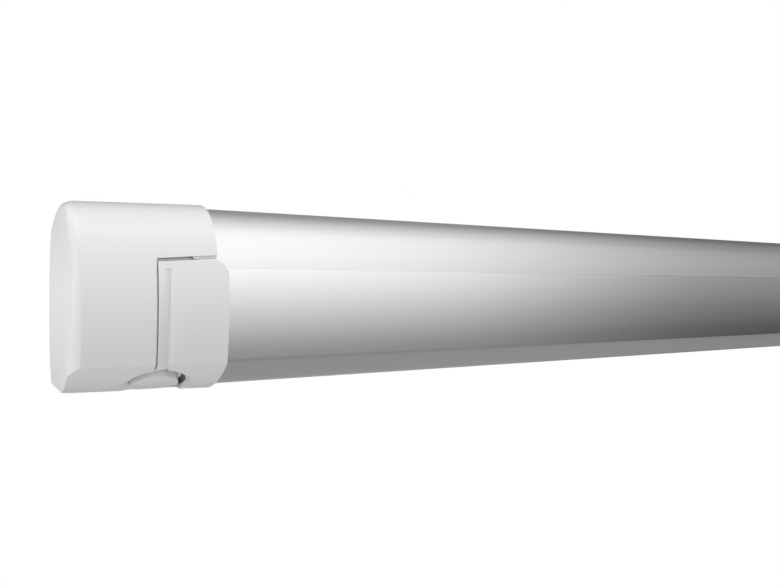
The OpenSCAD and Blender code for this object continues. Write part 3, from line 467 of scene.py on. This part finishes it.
whitePlastic = madeMaterial("whitePlastic", grain, {
    "color": (0.84, 0.845, 0.855), "metallic": 0, "roughness": 0.35,
    "coat": {"Weight": 1, "Roughness": 0.14, "IOR": 1.95},
    "pattern": {"Grain": 2600, "Depth": 0.04, "Mottle": 0.015}})
anodisedLook = {
    "color": (0.88, 0.885, 0.885), "metallic": 1, "roughness": 0.3,
    "pattern": {"Depth": 0.04, "Mottle": 0.02}}
anodised = madeMaterial("anodised", dieLines, anodisedLook)
anodisedRail = madeMaterial("anodisedRail", dieLines, {**anodisedLook, "roughness": 0.22})  # smoother front
castAlloy = madeMaterial("castAlloy", grain, {
    "color": (0.5, 0.505, 0.515), "metallic": 1, "roughness": 0.5,
    "pattern": {"Grain": 1400, "Depth": 0.4, "Mottle": 0.08}})
platedSteel = madeMaterial("platedSteel", grain, {
    "color": (0.56, 0.57, 0.59), "metallic": 1, "roughness": 0.3,
    "pattern": {"Grain": 3000, "Depth": 0.15, "Mottle": 0.06}})
darkPlastic = madeMaterial("darkPlastic", grain, {
    "color": (0.035, 0.036, 0.039), "metallic": 0, "roughness": 0.5,
    "pattern": {"Grain": 1800, "Depth": 0.4, "Mottle": 0.1}})
blackRubber = madeMaterial("blackRubber", grain, {
    "color": (0.018, 0.018, 0.02), "metallic": 0, "roughness": 0.75,
    "pattern": {"Grain": 1500, "Depth": 0.3, "Mottle": 0.15}})
awningCloth = madeMaterial("awningCloth", weave, {
    "color": (0.2, 0.22, 0.245), "metallic": 0, "roughness": 0.85,
    "pattern": {"Threads": 330, "Depth": 0.6}})
print("materials made")

# Housing extrusion: shell, lip with its flange, back wall with two ribs and a short floor
housing = {
    "inset": 0.07,
    "ribs": ((-0.0379, -0.0362), (-0.0088, -0.0071)),
    "ribReach": 0.003,
    "ports": ((-0.0765, 0.04185), (-0.0054, 0.03886), (-0.0054, -0.048)),
    "portRadius": 0.0038,
    "portHole": 0.0021,
    "edge": 0.00002,
    "boltRadius": 0.0033,
    "boltX": 0.8,
    "boltZ": (-0.043, -0.002),
    "screwRadius": 0.0021,
    "screwX": (1.003, 1.047),
    "drillStart": 0.001,
    "drillPast": 0.0005,
}


# A hole through the back wall, as bored() takes it
def wallHole(x, z, radius):
    return (x, housing["drillStart"], z), (x, -case["wall"] - housing["drillPast"], z), radius


def housingPiece():
    wall = case["wall"]
    flangeBack = -case["depth"] + case["lipFlange"]
    chain = upperChain(0, 0, case["lipHeight"])
    chain += [(flangeBack, case["lipHeight"]), (flangeBack, case["lipHeight"] + wall)]
    chain += upperChain(wall, -wall, case["lipHeight"] + wall)[::-1]
    reach = -wall - housing["ribReach"]
    for low, high in reversed(housing["ribs"]):
        chain += [(-wall, high), (reach, high), (reach, low), (-wall, low)]
    floorFront = -case["floorDepth"]
    chain += [(-wall, case["floor"] + wall), (floorFront, case["floor"] + wall)]
    chain += [(floorFront, case["floor"]), (0, case["floor"])]
    half = case["halfLength"] - housing["inset"]
    mesh = bmesh.new()
    addPrism(mesh, roundedChain(chain, housing["edge"]), -half, half)
    holes = []
    for side in (-1, 1):
        holes += [wallHole(side * housing["boltX"], z, housing["boltRadius"]) for z in housing["boltZ"]]
        holes += [wallHole(side * x, inside["armZ"], housing["screwRadius"]) for x in housing["screwX"]]
    mesh = bored(mesh, holes)
    for port in housing["ports"]:
        outer = circleChain(port, housing["portRadius"], steps["port"])
        inner = circleChain(port, housing["portHole"], steps["port"])
        addTube(mesh, outer, inner, -half, half)
    finishPiece(mesh, "housing_profile", anodised)


housingPiece()

# Lead rail extrusion: front, keel, hem groove and the two leg lanes
leadRail = {
    "inset": 0.075,
    "wall": 0.002,
    "seam": 0.00002,
    "combFront": 0.0045,
    "channelFront": 0.0524,
    "channelBack": 0.012,
    "channelWall": 0.0017,
    "channelTop": -0.0362,
    "middle": -0.0322,
    "grooveOuter": 0.005,
    "grooveInner": 0.0034,
    "mouth": 0.0012,
    "webFront": 0.001,
    "webOverlap": 0.0005,
    "edge": 0.00002,
}


# Front and keel as one bent sheet, with the flange under the seam
def railSkin():
    wall = leadRail["wall"]
    top = case["lipHeight"] - leadRail["seam"]
    flangeBack = -case["depth"] + case["lipFlange"]
    keelEnd = -leadRail["channelFront"] + leadRail["channelWall"] / 2
    skin = lowerChain(0, top, keelEnd)
    skin += lowerChain(wall, top - wall, keelEnd)[::-1]
    skin += [(flangeBack, top - wall), (flangeBack, top)]
    return skin


# Ceiling over the leg lanes, with the three fins that part them
def railComb():
    wall = leadRail["channelWall"]
    top = leadRail["channelTop"]
    ceiling = top - wall
    front = -case["depth"] + leadRail["combFront"]
    rear = -leadRail["channelBack"]
    comb = [(front, top), (rear, top)]
    for back in (rear, leadRail["middle"] + wall / 2, -leadRail["channelFront"] + wall):
        if back != rear:
            comb.append((back, ceiling))
        comb += [(back, case["floor"]), (back - wall, case["floor"]), (back - wall, ceiling)]
    comb.append((front, ceiling))
    return comb


# Round groove that opens backwards for the cloth
def hemGroove():
    outer, inner, turn = leadRail["grooveOuter"], leadRail["grooveInner"], 2 * math.pi
    opening = math.asin(leadRail["mouth"] / outer)
    hollow = math.asin(leadRail["mouth"] / inner)
    groove = arcPoints(inside["hemAxis"], outer, opening, turn - opening, steps["groove"])
    groove += arcPoints(inside["hemAxis"], inner, turn - hollow, hollow, steps["groove"])
    return groove


# Web that ties the groove to the front
def grooveWeb():
    wall = leadRail["channelWall"]
    low = inside["hemAxis"][1] - wall / 2
    front = -case["depth"] + leadRail["webFront"]
    back = inside["hemAxis"][0] - leadRail["grooveInner"] - leadRail["webOverlap"]
    return [(front, low), (back, low), (back, low + wall), (front, low + wall)]


def leadRailPiece():
    half = case["halfLength"] - leadRail["inset"]
    mesh = bmesh.new()
    for chain in (railSkin(), railComb()):
        addPrism(mesh, roundedChain(chain, leadRail["edge"]), -half, half)
    for chain in (hemGroove(), grooveWeb()):
        addPrism(mesh, chain, -half, half)
    finishPiece(mesh, "lead_rail_profile", anodisedRail)


leadRailPiece()

# Roller, roll and hem rod, rounder than the CAD meshes
roller = {
    "tube": {"outer": 0.022, "inner": 0.0205, "half": 1.068},
    "roll": {"outer": 0.028, "inner": 0.02205, "half": inside["clothHalf"]},
}
hemRod = {"radius": 0.0031, "half": inside["clothHalf"]}


def rollerPiece(node, size, material):
    outer = circleChain(inside["rollerAxis"], size["outer"], steps["tube"])
    inner = circleChain(inside["rollerAxis"], size["inner"], steps["tube"])
    mesh = bmesh.new()
    addTube(mesh, outer, inner, -size["half"], size["half"])
    finishPiece(mesh, node, material)


def hemRodPiece():
    mesh = bmesh.new()
    chain = circleChain(inside["hemAxis"], hemRod["radius"], steps["bar"])
    addPrism(mesh, chain, -hemRod["half"], hemRod["half"])
    finishPiece(mesh, "hem_rod", awningCloth)


rollerPiece("roller_tube", roller["tube"], anodised)
rollerPiece("fabric_roll", roller["roll"], awningCloth)
hemRodPiece()

# Boxed tubes of the arms and the legs, with the left side's span along X
armTube = {"span": (-0.991, -0.087), "size": (0.022, 0.024), "round": 0.004, "wall": 0.0018}
legTube = {"span": (-1.026, -0.06), "size": (0.016, 0.014), "round": 0.002, "wall": 0.0015}
legInner = {"span": (-1.01, -0.018), "size": (0.0124, 0.0104), "round": 0.001, "wall": 0.0015}
legLanes = {"left": -0.041875, "right": -0.022525, "z": -0.046}


def boxTube(node, centre, tube, sign, leastRound=0.0005):
    low, high = sorted(sign * x for x in tube["span"])
    width, height = tube["size"]
    wall = tube["wall"]
    outer = rectangleChain(centre, width, height, tube["round"])
    innerRound = max(tube["round"] - wall, leastRound)
    inner = rectangleChain(centre, width - 2 * wall, height - 2 * wall, innerRound)
    mesh = bmesh.new()
    addTube(mesh, outer, inner, low, high)
    finishPiece(mesh, node, anodised)


for side, sign in (("left", 1), ("right", -1)):
    boxTube(f"{side}_upper_arm", (inside["upperArmY"], inside["armZ"]), armTube, sign)
    boxTube(f"{side}_forearm", (inside["forearmY"], inside["armZ"]), armTube, sign)
    lane = (legLanes[side], legLanes["z"])
    boxTube(f"{side}_leg_tube", lane, legTube, sign)
    boxTube(f"{side}_leg_inner", lane, legInner, sign)
print("extrusions made")

# Pivot pins with a flat head, and the two bushes of the roller
pins = {"x": 1.025, "half": 0.012, "radius": 0.00399, "head": 0.0065, "headHeight": 0.0014, "edge": 0.0003}
bushes = {"step": 1.07998, "end": 1.0785, "inner": 0.00605, "outer": 0.00898, "flange": 0.011}


def pinPiece(node, y):
    mesh = bmesh.new()
    low, high = inside["armZ"] - pins["half"], inside["armZ"] + pins["half"]
    for x in (-pins["x"], pins["x"]):
        addBar(mesh, (x, y, low), (x, y, high), pins["radius"])
        addBar(mesh, (x, y, high), (x, y, high + pins["headHeight"]), pins["head"])
    soften(mesh, pins["edge"])
    finishPiece(mesh, node, platedSteel)


def bushPiece():
    mesh = bmesh.new()
    inner = circleChain(inside["rollerAxis"], bushes["inner"], steps["bush"])
    for begin, radius in ((inside["plateFace"], bushes["outer"]), (bushes["step"], bushes["flange"])):
        outer = circleChain(inside["rollerAxis"], radius, steps["bush"])
        addTube(mesh, outer, inner, -begin, -bushes["end"])
        addTube(mesh, outer, inner, bushes["end"], begin)
    finishPiece(mesh, "roller_bushes", darkPlastic)


pinPiece("shoulder_pins", inside["upperArmY"])
pinPiece("wrist_pins", inside["forearmY"])
bushPiece()

# Screws of the shoulder brackets and of the end plates
screws = {"radius": 0.002, "head": 0.0038, "headHeight": 0.0024, "wallFace": -0.0062, "wallTip": -0.0003,
          "plateTip": 1.06, "edge": 0.0004}


def screwPiece():
    mesh = bmesh.new()
    for side in (-1, 1):
        for x in housing["screwX"]:
            face, z = screws["wallFace"], inside["armZ"]
            addBar(mesh, (side * x, face, z), (side * x, face - screws["headHeight"], z), screws["head"])
            addBar(mesh, (side * x, face, z), (side * x, screws["wallTip"], z), screws["radius"])
        for y, z in housing["ports"]:
            face = side * inside["plateFace"]
            addBar(mesh, (face, y, z), (face + side * screws["headHeight"], y, z), screws["head"])
            addBar(mesh, (face, y, z), (side * screws["plateTip"], y, z), screws["radius"])
    soften(mesh, screws["edge"])
    finishPiece(mesh, "housing_screws", platedSteel)


screwPiece()

# The free stretch of cloth between the roll and the hem groove
cloth = {"start": (-0.0405, -0.0073), "end": (-0.0795, -0.00075), "thick": 0.0005, "cells": (60, 12)}


def clothPiece():
    half = inside["clothHalf"]
    span = Vector(cloth["end"]) - Vector(cloth["start"])
    middle = (Vector(cloth["start"]) + Vector(cloth["end"])) / 2
    place = Matrix.Translation((0, *middle)) @ Matrix.Rotation(math.atan2(span.y, span.x), 4, "X")
    place = place @ Matrix.Diagonal((half, span.length / 2, 1, 1))
    across, along = cloth["cells"]
    mesh = bmesh.new()
    bmesh.ops.create_grid(mesh, x_segments=across, y_segments=along, size=1, matrix=place)
    bmesh.ops.solidify(mesh, geom=mesh.faces[:], thickness=cloth["thick"])
    piece = finishPiece(mesh, "awning_fabric", awningCloth, rides=False)
    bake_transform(piece)
    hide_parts("awning_fabric")


clothPiece()


def pairs(*parts):
    return tuple(f"{side}_{part}" for part in parts for side in ("left", "right"))


# Every other CAD node keeps its form, with softened edges: bevel width in metres, then the nodes
finishes = (
    (whitePlastic, "white_plastic", 0.0003, (*pairs("end_cap", "lead_cap"), "winch_plug", "winch_bezel")),
    (castAlloy, "cast_alloy", 0, ("winch_housing",)),
    (castAlloy, "cast_alloy", 0.0003, pairs("end_plate")),
    (castAlloy, "cast_alloy", 0.0005, pairs("shoulder_bracket", "wrist_bracket", "shoulder_knuckle",
                                            "wrist_knuckle", "elbow_fork", "elbow_eye")),
    (platedSteel, "steel", 0, ("leg_hinge_pins", "worm_wheel", "winch_worm", "winch_eye",
                               *pairs("arm_spring"))),
    (platedSteel, "steel", 0.0003, pairs("elbow_pin")),
    (darkPlastic, "dark_plastic", 0, pairs("roller_plug")),
    (darkPlastic, "dark_plastic", 0.0003, pairs("leg_head", "leg_collar", "leg_lever")),
    (blackRubber, "rubber", 0.0002, ("lip_seal", "wall_seal")),
    (blackRubber, "rubber", 0.0008, pairs("leg_foot")),
)
for material, slotName, width, nodes in finishes:
    for node in nodes:
        mesh = nodeMesh(node)
        if width:
            soften(mesh, width)
        piece = finishPiece(mesh, node, material)
        weighing = piece.modifiers.new("weighing", "WEIGHTED_NORMAL")  # large faces keep their shading
        weighing.keep_sharp = True
print("fittings made")


# Puts a camera or a lamp into the scene, looking along a direction
def aim(thing, place, direction):
    thing.location = place
    thing.rotation_mode = "QUATERNION"
    thing.rotation_quaternion = Vector(direction).to_track_quat("-Z", "Y")
    bpy.context.scene.collection.objects.link(thing)


# Camera as in the photo, from the front left of the left end
camera = {"place": (-1.1994, -0.514, 0.0033), "toward": (0.5123, 0.8588, -0.001), "lens": 33.23,
          "sensor": 36, "clip": (0.01, 100)}
cameraData = bpy.data.cameras.new("camera")
cameraData.lens = camera["lens"]
cameraData.sensor_width = camera["sensor"]
cameraData.clip_start, cameraData.clip_end = camera["clip"]
cameraObject = bpy.data.objects.new("camera", cameraData)
aim(cameraObject, camera["place"], camera["toward"])
bpy.context.scene.camera = cameraObject

# Pale studio: a floor far below and a world that shows white
studio = {"floorZ": -2.05, "floorSize": 30, "floorColor": (0.8, 0.8, 0.8, 1), "floorRoughness": 0.9,
          "fill": 0.3}


def mixShaders(tree, share, first, second):
    mixed = tree.nodes.new("ShaderNodeMixShader")
    for socket, source in zip(mixed.inputs, (share, first, second)):
        tree.links.new(source, socket)
    return mixed.outputs[0]


# Camera, reflections and glass see the white shader, and everything else the plain one
def showWhite(tree, plain, white):
    path = tree.nodes.new("ShaderNodeLightPath")
    seen = path.outputs["Is Camera Ray"]
    for kind in ("Is Glossy Ray", "Is Transmission Ray"):
        seen = joinValues(tree, "MAXIMUM", seen, path.outputs[kind])
    return mixShaders(tree, seen, plain, white)


def studioWorld():
    world = bpy.data.worlds.new("studio")
    bpy.context.scene.world = world
    world.use_nodes = True
    tree = world.node_tree
    fill = tree.nodes["Background"]
    white = tree.nodes.new("ShaderNodeBackground")
    for light, strength in ((fill, studio["fill"]), (white, 1)):
        light.inputs["Color"].default_value = (1, 1, 1, 1)
        light.inputs["Strength"].default_value = strength
    shown = showWhite(tree, fill.outputs[0], white.outputs[0])
    tree.links.new(shown, tree.nodes["World Output"].inputs["Surface"])


def stagePiece(mesh, name):
    piece = looseObject(mesh, name)
    paint = bpy.data.materials.new(name + "Paint")
    paint.use_nodes = True
    piece.data.materials.append(paint)
    return piece, paint.node_tree


def floorPiece():
    place = Matrix.Translation((0, 0, studio["floorZ"])) @ Matrix.Scale(studio["floorSize"], 4)
    mesh = bmesh.new()
    bmesh.ops.create_grid(mesh, x_segments=1, y_segments=1, size=1, matrix=place)
    tree = stagePiece(mesh, "floor")[1]
    base = tree.nodes["Principled BSDF"]
    base.inputs["Base Color"].default_value = studio["floorColor"]
    base.inputs["Roughness"].default_value = studio["floorRoughness"]
    glow = tree.nodes.new("ShaderNodeEmission")
    above = showWhite(tree, base.outputs[0], glow.outputs[0])
    clear = tree.nodes.new("ShaderNodeBsdfTransparent")  # so that views from below see the object
    under = tree.nodes.new("ShaderNodeNewGeometry").outputs["Backfacing"]
    shown = mixShaders(tree, under, above, clear.outputs[0])
    tree.links.new(shown, tree.nodes["Material Output"].inputs["Surface"])


studioWorld()
floorPiece()

# A room that only reflections see, bright in front and darker below, behind and far along the cassette.
# Shades go by the angle round the cassette in degrees, from -y by way of +z, and by the share along X.
room = {
    "middle": (0, -0.09, 0),
    "low": (-10, -10, -1.95),
    "high": (10, 10, 8),
    "round": ((-180, 0.75), (-150, 0.05), (-100, 0.05), (-25, 0.3), (15, 1.15), (70, 1.15), (130, 0.3),
              (155, 0.25), (180, 0.75)),
    "along": ((0.3, 1), (0.55, 0.85), (0.8, 0.25)),
    "under": ((-170, 0), (-150, 0.25), (-105, 0.25), (-70, 0)),  # added from low behind, the same all along
}


# A shade that follows a value through the given stops
def shadeRamp(tree, value, stops):
    ramp = tree.nodes.new("ShaderNodeValToRGB")
    elements = ramp.color_ramp.elements
    elements.remove(elements[1])
    for number, (position, shade) in enumerate(stops):
        element = elements.new(position) if number else elements[0]
        element.position = position
        element.color = (shade, shade, shade, 1)
    tree.links.new(value, ramp.inputs["Fac"])
    return ramp.outputs["Color"]


# The same for stops in degrees, where the value runs from 0 to 1 for the whole turn
def turnRamp(tree, value, stops):
    return shadeRamp(tree, value, [(degrees / 360 + 0.5, shade) for degrees, shade in stops])


def roomPiece():
    mesh = bmesh.new()
    low, high = Vector(room["low"]), Vector(room["high"])
    bmesh.ops.create_cube(mesh, size=1, matrix=Matrix.LocRotScale((low + high) / 2, None, high - low))
    walls, tree = stagePiece(mesh, "room")
    for kind in ("camera", "diffuse", "transmission", "volume_scatter", "shadow"):
        setattr(walls, "visible_" + kind, False)
    spot = tree.nodes.new("ShaderNodeTexCoord")
    offset = tree.nodes.new("ShaderNodeVectorMath")
    offset.operation = "SUBTRACT"
    offset.inputs[1].default_value = room["middle"]
    tree.links.new(spot.outputs["Object"], offset.inputs[0])
    direction = tree.nodes.new("ShaderNodeVectorMath")
    direction.operation = "NORMALIZE"
    tree.links.new(offset.outputs[0], direction.inputs[0])
    parts = tree.nodes.new("ShaderNodeSeparateXYZ")
    tree.links.new(direction.outputs[0], parts.inputs[0])
    forward = joinValues(tree, "MULTIPLY", parts.outputs["Y"], -1)
    angle = joinValues(tree, "ARCTAN2", parts.outputs["Z"], forward)
    turn = joinValues(tree, "ADD", joinValues(tree, "DIVIDE", angle, 2 * math.pi), 0.5)
    aside = joinValues(tree, "ABSOLUTE", parts.outputs["X"])
    fading = shadeRamp(tree, aside, room["along"])
    lit = joinValues(tree, "MULTIPLY", turnRamp(tree, turn, room["round"]), fading)
    total = joinValues(tree, "ADD", lit, turnRamp(tree, turn, room["under"]))
    glow = tree.nodes.new("ShaderNodeEmission")
    tree.links.new(total, glow.inputs["Strength"])
    tree.links.new(glow.outputs[0], tree.nodes["Material Output"].inputs["Surface"])


roomPiece()

# Soft lamps: place, target, size and power. Reflections show the room in their stead.
lamps = {
    "overhead": ((0, -0.5, 1.65), (0, -0.05, 0), (4.6, 1.2), 30),
    "front": ((0, -2.3, 0.9), (0, -0.05, 0), (4.6, 1.4), 15),
    "leftSide": ((-3.2, -0.4, 0.4), (-1.1, -0.05, 0), (1.2, 1.2), 30),
    "rightSide": ((3.2, -0.4, 0.4), (1.1, -0.05, 0), (1.2, 1.2), 30),
    "lowFill": ((0, -0.3, -1.7), (0, -0.3, 0), (4.6, 4), 25),
}
for name, (place, target, size, power) in lamps.items():
    lampData = bpy.data.lights.new(name, "AREA")
    lampData.shape = "RECTANGLE"
    lampData.size, lampData.size_y = size
    lampData.energy = power
    lamp = bpy.data.objects.new(name, lampData)
    lamp.visible_camera = False
    lamp.visible_glossy = False
    aim(lamp, place, Vector(target) - Vector(place))

bpy.context.scene.view_settings.view_transform = "Standard"
print("studio set")
